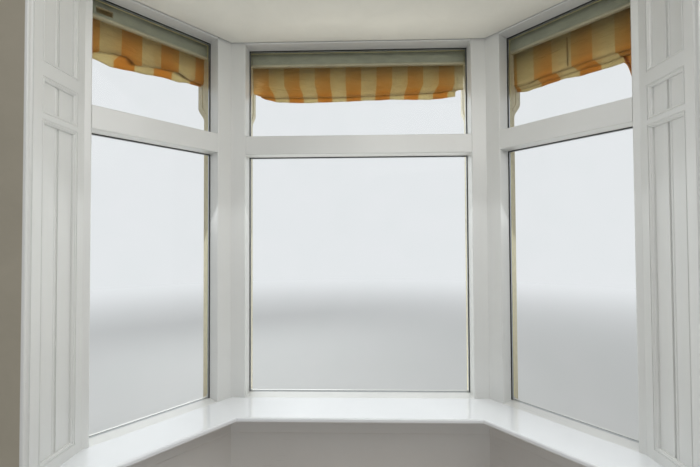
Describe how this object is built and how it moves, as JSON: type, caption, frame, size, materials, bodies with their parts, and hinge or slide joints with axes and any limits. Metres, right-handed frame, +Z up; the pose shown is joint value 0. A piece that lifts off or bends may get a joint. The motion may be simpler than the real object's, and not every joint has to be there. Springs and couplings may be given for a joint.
{
  "type": "canted bay window",
  "caption": "Canted bay window in a piece of brick house wall: painted timber frames with top lights, panelled reveals, deep inner sill, brick parapet, flat roof and retracted striped awnings.",
  "frame": {"origin": "centre of the whole outline on the ground outside", "axes": "+X to the right as seen from the room, +Y outward from the room to the street, +Z up"},
  "size_m": [3.48, 1.174, 3.32],
  "materials": {
    "brick": "red-brown facing brick with grey pointing",
    "plaster": "smooth matt white plaster",
    "white_paint": "timber in white gloss paint",
    "sill_paint": "timber in high gloss white paint",
    "cream_paint": "timber in cream satin paint",
    "window_glass": "clear double glazing",
    "sill_tile": "dark brown glazed sill tile",
    "floor_boards": "oiled pine boards",
    "roof_felt": "slate-chipped roofing felt",
    "striped_canvas": "canvas with orange and cream stripes"
  },
  "bodies": {
    "root": {"left_pier": "brick", "right_pier": "brick", "upper_wall": "brick", "front_parapet": "brick", "left_parapet": "brick", "right_parapet": "brick", "floor": "floor_boards", "left_corner_post": "white_paint", "right_corner_post": "white_paint", "left_wall_post": "white_paint", "right_wall_post": "white_paint", "front_bottom_rail": "white_paint", "left_bottom_rail": "white_paint", "right_bottom_rail": "white_paint", "front_transom": "white_paint", "left_transom": "white_paint", "right_transom": "white_paint", "front_head_rail": "white_paint", "left_head_rail": "white_paint", "right_head_rail": "white_paint", "front_panes": "window_glass", "left_panes": "window_glass", "right_panes": "window_glass", "glazing_beads": "white_paint", "front_sill_board": "sill_paint", "left_sill_board": "sill_paint", "right_sill_board": "sill_paint", "front_apron": "white_paint", "left_apron": "white_paint", "right_apron": "white_paint", "front_outer_sill": "sill_tile", "left_outer_sill": "sill_tile", "right_outer_sill": "sill_tile", "left_lining": "white_paint", "right_lining": "white_paint", "ceiling": "plaster", "ceiling_trim": "plaster", "roof": "roof_felt", "fascia": "white_paint", "front_awning_box": "cream_paint", "left_awning_box": "cream_paint", "right_awning_box": "cream_paint", "front_awning_fabric": "striped_canvas", "left_awning_fabric": "striped_canvas", "right_awning_fabric": "striped_canvas"}
  },
  "joints": []
}
